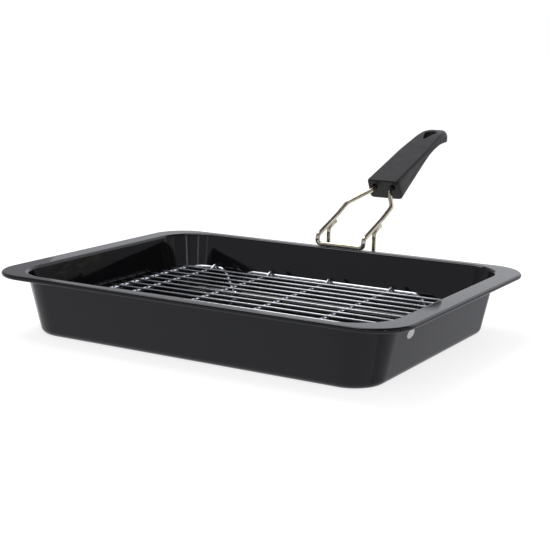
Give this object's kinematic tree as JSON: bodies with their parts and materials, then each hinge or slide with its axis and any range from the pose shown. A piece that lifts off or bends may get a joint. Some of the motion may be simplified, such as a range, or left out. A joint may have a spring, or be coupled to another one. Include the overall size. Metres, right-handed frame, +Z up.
{
  "type": "broiler pan",
  "caption": "Rectangular broiler pan with a rolled rim, a wire rack standing inside it and a wire handle with a moulded grip hooked over its back edge.",
  "frame": {"origin": "middle of the pan's flat bottom, on the surface it stands on", "axes": "+X along the pan's length, +Y across it towards the handle, +Z up"},
  "size_m": [0.385, 0.4875, 0.1511],
  "materials": {
    "pan": "black glossy enamel fired on pressed steel",
    "rack": "bright chrome plated steel wire",
    "handle_wire": "bright plated steel wire with a warm tint",
    "grip": "satin black moulded plastic"
  },
  "bodies": {
    "root": {"pan": "pan", "rack_frame": "rack", "rack_long_wire_01": "rack", "rack_long_wire_02": "rack", "rack_long_wire_03": "rack", "rack_long_wire_04": "rack", "rack_long_wire_05": "rack", "rack_long_wire_06": "rack", "rack_long_wire_07": "rack", "rack_long_wire_08": "rack", "rack_long_wire_09": "rack", "rack_long_wire_10": "rack", "rack_long_wire_11": "rack", "rack_long_wire_12": "rack", "rack_cross_wire_1": "rack", "rack_cross_wire_2": "rack", "rack_cross_wire_3": "rack", "rack_cross_wire_4": "rack", "rack_cross_wire_5": "rack", "handle_wire": "handle_wire", "handle_hook_wire": "handle_wire", "handle_grip": "grip"}
  },
  "joints": []
}
